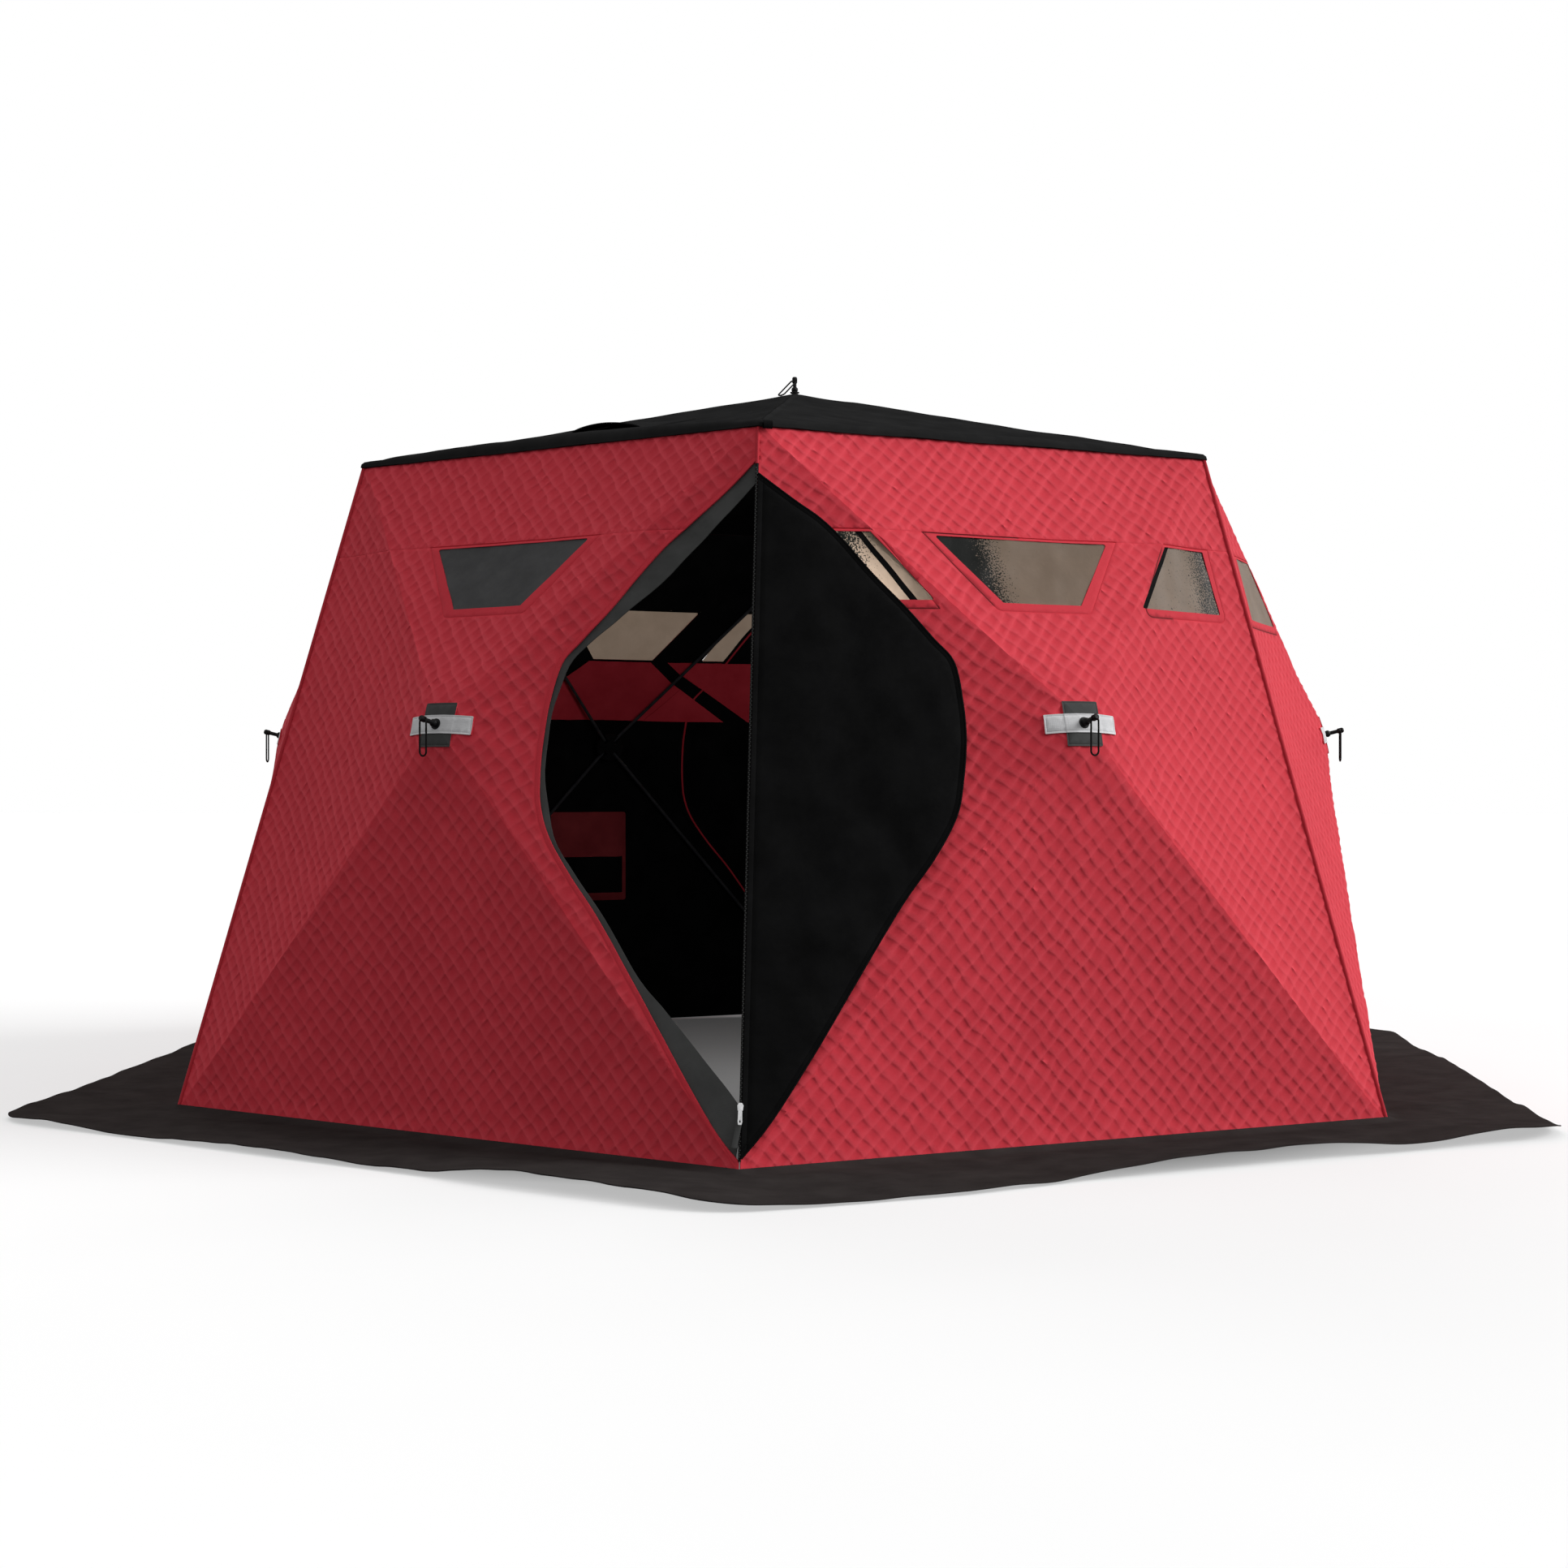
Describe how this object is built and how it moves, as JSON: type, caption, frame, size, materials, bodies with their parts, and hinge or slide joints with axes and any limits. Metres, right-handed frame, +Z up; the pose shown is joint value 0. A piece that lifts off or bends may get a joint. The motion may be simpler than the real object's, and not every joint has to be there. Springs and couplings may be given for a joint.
{
  "type": "ice fishing shelter",
  "caption": "Pop-up hexagonal ice fishing shelter: quilted walls pushed out by hubs on hinged poles, fold-back doors, film windows and a snow skirt.",
  "frame": {"origin": "on the ice under the middle of the shelter, at the middle of the skirt's underside", "axes": "+Z up; -Y out through the front corner, where the front door is hinged; +X to the right seen from the front"},
  "size_m": [3.9696, 4.5218, 2.093],
  "materials": {
    "red_quilt": "quilted woven polyester with a small diamond stitch, matt",
    "black_lining": "black coated lining, matt",
    "roof_fabric": "plain black woven polyester, matt",
    "skirt_fabric": "plain dark grey coated polyester, slight sheen",
    "clear_film": "clear flexible PVC film, glossy and slightly crinkled",
    "hub_plastic": "black moulded nylon, satin",
    "pole_rod": "dark solid fibreglass rod, satin",
    "cord": "thin dark round cord",
    "light_webbing": "pale grey woven webbing strap, stitched round its edge",
    "grey_trim": "dark grey woven reinforcement and zip tape",
    "zip_metal": "bright metal zip puller"
  },
  "bodies": {
    "root": {"roof": "roof_fabric", "skirt": "skirt_fabric", "wall_front_right": "red_quilt", "wall_right": "red_quilt", "wall_back_right": "red_quilt", "wall_back_left": "red_quilt", "wall_left": "red_quilt", "wall_front_left": "red_quilt", "window_film_front_right": "clear_film", "window_film_right": "clear_film", "window_film_back_right": "clear_film", "window_film_back_left": "clear_film", "window_film_left": "clear_film", "window_film_front_left": "clear_film"},
    "hub_front_right": {"hub_front_right": "hub_plastic"},
    "pole_front_right_lower_left": {"pole_front_right_lower_left": "pole_rod"},
    "pole_front_right_lower_right": {"pole_front_right_lower_right": "pole_rod"},
    "pole_front_right_upper_left": {"pole_front_right_upper_left": "pole_rod"},
    "pole_front_right_upper_right": {"pole_front_right_upper_right": "pole_rod"},
    "pull_loop_front_right": {"pull_loop_front_right": "cord"},
    "hub_right": {"hub_right": "hub_plastic"},
    "pole_right_lower_left": {"pole_right_lower_left": "pole_rod"},
    "pole_right_lower_right": {"pole_right_lower_right": "pole_rod"},
    "pole_right_upper_left": {"pole_right_upper_left": "pole_rod"},
    "pole_right_upper_right": {"pole_right_upper_right": "pole_rod"},
    "pull_loop_right": {"pull_loop_right": "cord"},
    "hub_back_right": {"hub_back_right": "hub_plastic"},
    "pole_back_right_lower_left": {"pole_back_right_lower_left": "pole_rod"},
    "pole_back_right_lower_right": {"pole_back_right_lower_right": "pole_rod"},
    "pole_back_right_upper_left": {"pole_back_right_upper_left": "pole_rod"},
    "pole_back_right_upper_right": {"pole_back_right_upper_right": "pole_rod"},
    "pull_loop_back_right": {"pull_loop_back_right": "cord"},
    "hub_back_left": {"hub_back_left": "hub_plastic"},
    "pole_back_left_lower_left": {"pole_back_left_lower_left": "pole_rod"},
    "pole_back_left_lower_right": {"pole_back_left_lower_right": "pole_rod"},
    "pole_back_left_upper_left": {"pole_back_left_upper_left": "pole_rod"},
    "pole_back_left_upper_right": {"pole_back_left_upper_right": "pole_rod"},
    "pull_loop_back_left": {"pull_loop_back_left": "cord"},
    "hub_left": {"hub_left": "hub_plastic"},
    "pole_left_lower_left": {"pole_left_lower_left": "pole_rod"},
    "pole_left_lower_right": {"pole_left_lower_right": "pole_rod"},
    "pole_left_upper_left": {"pole_left_upper_left": "pole_rod"},
    "pole_left_upper_right": {"pole_left_upper_right": "pole_rod"},
    "pull_loop_left": {"pull_loop_left": "cord"},
    "hub_front_left": {"hub_front_left": "hub_plastic"},
    "pole_front_left_lower_left": {"pole_front_left_lower_left": "pole_rod"},
    "pole_front_left_lower_right": {"pole_front_left_lower_right": "pole_rod"},
    "pole_front_left_upper_left": {"pole_front_left_upper_left": "pole_rod"},
    "pole_front_left_upper_right": {"pole_front_left_upper_right": "pole_rod"},
    "pull_loop_front_left": {"pull_loop_front_left": "cord"},
    "hub_roof": {"hub_roof": "hub_plastic"},
    "pole_roof_front": {"pole_roof_front": "pole_rod"},
    "pole_roof_front_right": {"pole_roof_front_right": "pole_rod"},
    "pole_roof_back_right": {"pole_roof_back_right": "pole_rod"},
    "pole_roof_back": {"pole_roof_back": "pole_rod"},
    "pole_roof_back_left": {"pole_roof_back_left": "pole_rod"},
    "pole_roof_front_left": {"pole_roof_front_left": "pole_rod"},
    "pull_loop_roof": {"pull_loop_roof": "cord"},
    "door_front": {"door_front": "black_lining"},
    "door_back": {"door_back": "black_lining"}
  },
  "joints": [
    {"name": "hub_front_right_pop", "type": "slide", "parent": "root", "child": "hub_front_right", "axis": [0.4849, -0.8399, 0.2439], "range_m": [-0.4314, 0], "deforming": ["wall_front_right", "window_film_front_right"]},
    {"name": "pole_front_right_lower_left_hinge", "type": "hinge", "parent": "hub_front_right", "child": "pole_front_right_lower_left", "pos_m": [0.74423, -1.33803, 0.9757], "axis": [0.7177, 0.2227, -0.6598], "range_deg": [-18.8, 0]},
    {"name": "pole_front_right_lower_right_hinge", "type": "hinge", "parent": "hub_front_right", "child": "pole_front_right_lower_right", "pos_m": [0.78665, -1.31354, 0.9757], "axis": [0.5518, 0.5102, 0.6598], "range_deg": [-18.8, 0]},
    {"name": "pole_front_right_upper_left_hinge", "type": "hinge", "parent": "hub_front_right", "child": "pole_front_right_upper_left", "pos_m": [0.73921, -1.32561, 1.02844], "axis": [-0.5968, -0.5217, -0.6097], "range_deg": [-24.1, 0]},
    {"name": "pole_front_right_upper_right_hinge", "type": "hinge", "parent": "hub_front_right", "child": "pole_front_right_upper_right", "pos_m": [0.77841, -1.30298, 1.02844], "axis": [-0.7502, -0.256, 0.6097], "range_deg": [-24.1, 0]},
    {"name": "pull_loop_front_right_swing", "type": "hinge", "parent": "hub_front_right", "child": "pull_loop_front_right", "pos_m": [0.80975, -1.40252, 1.0252], "axis": [-0.866, -0.5, 0], "range_deg": [-19, 150]},
    {"name": "hub_right_pop", "type": "slide", "parent": "root", "child": "hub_right", "axis": [0.9698, 0, 0.2439], "range_m": [-0.4314, 0], "deforming": ["wall_right", "window_film_right"]},
    {"name": "pole_right_lower_left_hinge", "type": "hinge", "parent": "hub_right", "child": "pole_right_lower_left", "pos_m": [1.53089, -0.02449, 0.9757], "axis": [0.166, 0.7329, -0.6598], "range_deg": [-18.8, 0]},
    {"name": "pole_right_lower_right_hinge", "type": "hinge", "parent": "hub_right", "child": "pole_right_lower_right", "pos_m": [1.53089, 0.02449, 0.9757], "axis": [-0.166, 0.7329, 0.6598], "range_deg": [-18.8, 0]},
    {"name": "pole_right_upper_left_hinge", "type": "hinge", "parent": "hub_right", "child": "pole_right_upper_left", "pos_m": [1.51762, -0.02263, 1.02844], "axis": [0.1534, -0.7777, -0.6097], "range_deg": [-24.1, 0]},
    {"name": "pole_right_upper_right_hinge", "type": "hinge", "parent": "hub_right", "child": "pole_right_upper_right", "pos_m": [1.51762, 0.02263, 1.02844], "axis": [-0.1534, -0.7777, 0.6097], "range_deg": [-24.1, 0]},
    {"name": "pull_loop_right_swing", "type": "hinge", "parent": "hub_right", "child": "pull_loop_right", "pos_m": [1.61949, 0, 1.0252], "axis": [0, -1, 0], "range_deg": [-19, 150]},
    {"name": "hub_back_right_pop", "type": "slide", "parent": "root", "child": "hub_back_right", "axis": [0.4849, 0.8399, 0.2439], "range_m": [-0.4314, 0], "deforming": ["wall_back_right", "window_film_back_right"]},
    {"name": "pole_back_right_lower_left_hinge", "type": "hinge", "parent": "hub_back_right", "child": "pole_back_right_lower_left", "pos_m": [0.78665, 1.31354, 0.9757], "axis": [-0.5518, 0.5102, -0.6598], "range_deg": [-18.8, 0]},
    {"name": "pole_back_right_lower_right_hinge", "type": "hinge", "parent": "hub_back_right", "child": "pole_back_right_lower_right", "pos_m": [0.74423, 1.33803, 0.9757], "axis": [-0.7177, 0.2227, 0.6598], "range_deg": [-18.8, 0]},
    {"name": "pole_back_right_upper_left_hinge", "type": "hinge", "parent": "hub_back_right", "child": "pole_back_right_upper_left", "pos_m": [0.77841, 1.30298, 1.02844], "axis": [0.7502, -0.256, -0.6097], "range_deg": [-24.1, 0]},
    {"name": "pole_back_right_upper_right_hinge", "type": "hinge", "parent": "hub_back_right", "child": "pole_back_right_upper_right", "pos_m": [0.73921, 1.32561, 1.02844], "axis": [0.5968, -0.5217, 0.6097], "range_deg": [-24.1, 0]},
    {"name": "pull_loop_back_right_swing", "type": "hinge", "parent": "hub_back_right", "child": "pull_loop_back_right", "pos_m": [0.80975, 1.40252, 1.0252], "axis": [0.866, -0.5, 0], "range_deg": [-19, 150]},
    {"name": "hub_back_left_pop", "type": "slide", "parent": "root", "child": "hub_back_left", "axis": [-0.4849, 0.8399, 0.2439], "range_m": [-0.4314, 0], "deforming": ["wall_back_left", "window_film_back_left"]},
    {"name": "pole_back_left_lower_left_hinge", "type": "hinge", "parent": "hub_back_left", "child": "pole_back_left_lower_left", "pos_m": [-0.74423, 1.33803, 0.9757], "axis": [-0.7177, -0.2227, -0.6598], "range_deg": [-18.8, 0]},
    {"name": "pole_back_left_lower_right_hinge", "type": "hinge", "parent": "hub_back_left", "child": "pole_back_left_lower_right", "pos_m": [-0.78665, 1.31354, 0.9757], "axis": [-0.5518, -0.5102, 0.6598], "range_deg": [-18.8, 0]},
    {"name": "pole_back_left_upper_left_hinge", "type": "hinge", "parent": "hub_back_left", "child": "pole_back_left_upper_left", "pos_m": [-0.73921, 1.32561, 1.02844], "axis": [0.5968, 0.5217, -0.6097], "range_deg": [-24.1, 0]},
    {"name": "pole_back_left_upper_right_hinge", "type": "hinge", "parent": "hub_back_left", "child": "pole_back_left_upper_right", "pos_m": [-0.77841, 1.30298, 1.02844], "axis": [0.7502, 0.256, 0.6097], "range_deg": [-24.1, 0]},
    {"name": "pull_loop_back_left_swing", "type": "hinge", "parent": "hub_back_left", "child": "pull_loop_back_left", "pos_m": [-0.80974, 1.40252, 1.0252], "axis": [0.866, 0.5, 0], "range_deg": [-19, 150]},
    {"name": "hub_left_pop", "type": "slide", "parent": "root", "child": "hub_left", "axis": [-0.9698, 0, 0.2439], "range_m": [-0.4314, 0], "deforming": ["wall_left", "window_film_left"]},
    {"name": "pole_left_lower_left_hinge", "type": "hinge", "parent": "hub_left", "child": "pole_left_lower_left", "pos_m": [-1.53089, 0.02449, 0.9757], "axis": [-0.166, -0.7329, -0.6598], "range_deg": [-18.8, 0]},
    {"name": "pole_left_lower_right_hinge", "type": "hinge", "parent": "hub_left", "child": "pole_left_lower_right", "pos_m": [-1.53089, -0.02449, 0.9757], "axis": [0.166, -0.7329, 0.6598], "range_deg": [-18.8, 0]},
    {"name": "pole_left_upper_left_hinge", "type": "hinge", "parent": "hub_left", "child": "pole_left_upper_left", "pos_m": [-1.51762, 0.02263, 1.02844], "axis": [-0.1534, 0.7777, -0.6097], "range_deg": [-24.1, 0]},
    {"name": "pole_left_upper_right_hinge", "type": "hinge", "parent": "hub_left", "child": "pole_left_upper_right", "pos_m": [-1.51762, -0.02263, 1.02844], "axis": [0.1534, 0.7777, 0.6097], "range_deg": [-24.1, 0]},
    {"name": "pull_loop_left_swing", "type": "hinge", "parent": "hub_left", "child": "pull_loop_left", "pos_m": [-1.61949, 0, 1.0252], "axis": [0, 1, 0], "range_deg": [-19, 150]},
    {"name": "hub_front_left_pop", "type": "slide", "parent": "root", "child": "hub_front_left", "axis": [-0.4849, -0.8399, 0.2439], "range_m": [-0.4314, 0], "deforming": ["wall_front_left", "window_film_front_left"]},
    {"name": "pole_front_left_lower_left_hinge", "type": "hinge", "parent": "hub_front_left", "child": "pole_front_left_lower_left", "pos_m": [-0.78665, -1.31354, 0.9757], "axis": [0.5518, -0.5102, -0.6598], "range_deg": [-18.8, 0]},
    {"name": "pole_front_left_lower_right_hinge", "type": "hinge", "parent": "hub_front_left", "child": "pole_front_left_lower_right", "pos_m": [-0.74423, -1.33803, 0.9757], "axis": [0.7177, -0.2227, 0.6598], "range_deg": [-18.8, 0]},
    {"name": "pole_front_left_upper_left_hinge", "type": "hinge", "parent": "hub_front_left", "child": "pole_front_left_upper_left", "pos_m": [-0.77841, -1.30298, 1.02844], "axis": [-0.7502, 0.256, -0.6097], "range_deg": [-24.1, 0]},
    {"name": "pole_front_left_upper_right_hinge", "type": "hinge", "parent": "hub_front_left", "child": "pole_front_left_upper_right", "pos_m": [-0.73921, -1.32561, 1.02844], "axis": [-0.5968, 0.5217, 0.6097], "range_deg": [-24.1, 0]},
    {"name": "pull_loop_front_left_swing", "type": "hinge", "parent": "hub_front_left", "child": "pull_loop_front_left", "pos_m": [-0.80975, -1.40252, 1.0252], "axis": [-0.866, 0.5, 0], "range_deg": [-19, 150]},
    {"name": "hub_roof_pop", "type": "slide", "parent": "root", "child": "hub_roof", "axis": [0, 0, 1], "range_m": [-0.552, 0], "deforming": ["roof"]},
    {"name": "pole_roof_front_hinge", "type": "hinge", "parent": "hub_roof", "child": "pole_roof_front", "pos_m": [0, -0.036, 1.995], "axis": [1, 0, 0], "range_deg": [-24.3, 0]},
    {"name": "pole_roof_front_right_hinge", "type": "hinge", "parent": "hub_roof", "child": "pole_roof_front_right", "pos_m": [0.03118, -0.018, 1.995], "axis": [0.5, 0.866, 0], "range_deg": [-24.3, 0]},
    {"name": "pole_roof_back_right_hinge", "type": "hinge", "parent": "hub_roof", "child": "pole_roof_back_right", "pos_m": [0.03118, 0.018, 1.995], "axis": [-0.5, 0.866, 0], "range_deg": [-24.3, 0]},
    {"name": "pole_roof_back_hinge", "type": "hinge", "parent": "hub_roof", "child": "pole_roof_back", "pos_m": [0, 0.036, 1.995], "axis": [-1, 0, 0], "range_deg": [-24.3, 0]},
    {"name": "pole_roof_back_left_hinge", "type": "hinge", "parent": "hub_roof", "child": "pole_roof_back_left", "pos_m": [-0.03118, 0.018, 1.995], "axis": [-0.5, -0.866, 0], "range_deg": [-24.3, 0]},
    {"name": "pole_roof_front_left_hinge", "type": "hinge", "parent": "hub_roof", "child": "pole_roof_front_left", "pos_m": [-0.03118, -0.018, 1.995], "axis": [0.5, -0.866, 0], "range_deg": [-24.3, 0]},
    {"name": "pull_loop_roof_swing", "type": "hinge", "parent": "hub_roof", "child": "pull_loop_roof", "pos_m": [0, 0, 2.083], "axis": [-0.866, 0.5, 0], "range_deg": [0, 248]},
    {"name": "door_front_swing", "type": "hinge", "parent": "root", "child": "door_front", "pos_m": [0, -1.83096, 0.00028], "axis": [0, -0.2789, -0.9603], "range_deg": [0, 203.7]},
    {"name": "door_back_swing", "type": "hinge", "parent": "root", "child": "door_back", "pos_m": [0, 1.83096, 0.00028], "axis": [0, 0.2789, -0.9603], "range_deg": [0, 203.7]}
  ],
  "couplings": [
    {"joint": "pole_front_right_lower_left_hinge", "follows": "hub_front_right_pop", "rad_per_m": 0.7571},
    {"joint": "pole_front_right_lower_right_hinge", "follows": "hub_front_right_pop", "rad_per_m": 0.7571},
    {"joint": "pole_front_right_upper_left_hinge", "follows": "hub_front_right_pop", "rad_per_m": 0.9703},
    {"joint": "pole_front_right_upper_right_hinge", "follows": "hub_front_right_pop", "rad_per_m": 0.9703},
    {"joint": "pole_right_lower_left_hinge", "follows": "hub_right_pop", "rad_per_m": 0.7571},
    {"joint": "pole_right_lower_right_hinge", "follows": "hub_right_pop", "rad_per_m": 0.7571},
    {"joint": "pole_right_upper_left_hinge", "follows": "hub_right_pop", "rad_per_m": 0.9703},
    {"joint": "pole_right_upper_right_hinge", "follows": "hub_right_pop", "rad_per_m": 0.9703},
    {"joint": "pole_back_right_lower_left_hinge", "follows": "hub_back_right_pop", "rad_per_m": 0.7571},
    {"joint": "pole_back_right_lower_right_hinge", "follows": "hub_back_right_pop", "rad_per_m": 0.7571},
    {"joint": "pole_back_right_upper_left_hinge", "follows": "hub_back_right_pop", "rad_per_m": 0.9703},
    {"joint": "pole_back_right_upper_right_hinge", "follows": "hub_back_right_pop", "rad_per_m": 0.9703},
    {"joint": "pole_back_left_lower_left_hinge", "follows": "hub_back_left_pop", "rad_per_m": 0.7571},
    {"joint": "pole_back_left_lower_right_hinge", "follows": "hub_back_left_pop", "rad_per_m": 0.7571},
    {"joint": "pole_back_left_upper_left_hinge", "follows": "hub_back_left_pop", "rad_per_m": 0.9703},
    {"joint": "pole_back_left_upper_right_hinge", "follows": "hub_back_left_pop", "rad_per_m": 0.9703},
    {"joint": "pole_left_lower_left_hinge", "follows": "hub_left_pop", "rad_per_m": 0.7571},
    {"joint": "pole_left_lower_right_hinge", "follows": "hub_left_pop", "rad_per_m": 0.7571},
    {"joint": "pole_left_upper_left_hinge", "follows": "hub_left_pop", "rad_per_m": 0.9703},
    {"joint": "pole_left_upper_right_hinge", "follows": "hub_left_pop", "rad_per_m": 0.9703},
    {"joint": "pole_front_left_lower_left_hinge", "follows": "hub_front_left_pop", "rad_per_m": 0.7571},
    {"joint": "pole_front_left_lower_right_hinge", "follows": "hub_front_left_pop", "rad_per_m": 0.7571},
    {"joint": "pole_front_left_upper_left_hinge", "follows": "hub_front_left_pop", "rad_per_m": 0.9703},
    {"joint": "pole_front_left_upper_right_hinge", "follows": "hub_front_left_pop", "rad_per_m": 0.9703},
    {"joint": "pole_roof_front_hinge", "follows": "hub_roof_pop", "rad_per_m": 0.766},
    {"joint": "pole_roof_front_right_hinge", "follows": "hub_roof_pop", "rad_per_m": 0.766},
    {"joint": "pole_roof_back_right_hinge", "follows": "hub_roof_pop", "rad_per_m": 0.766},
    {"joint": "pole_roof_back_hinge", "follows": "hub_roof_pop", "rad_per_m": 0.766},
    {"joint": "pole_roof_back_left_hinge", "follows": "hub_roof_pop", "rad_per_m": 0.766},
    {"joint": "pole_roof_front_left_hinge", "follows": "hub_roof_pop", "rad_per_m": 0.766}
  ]
}
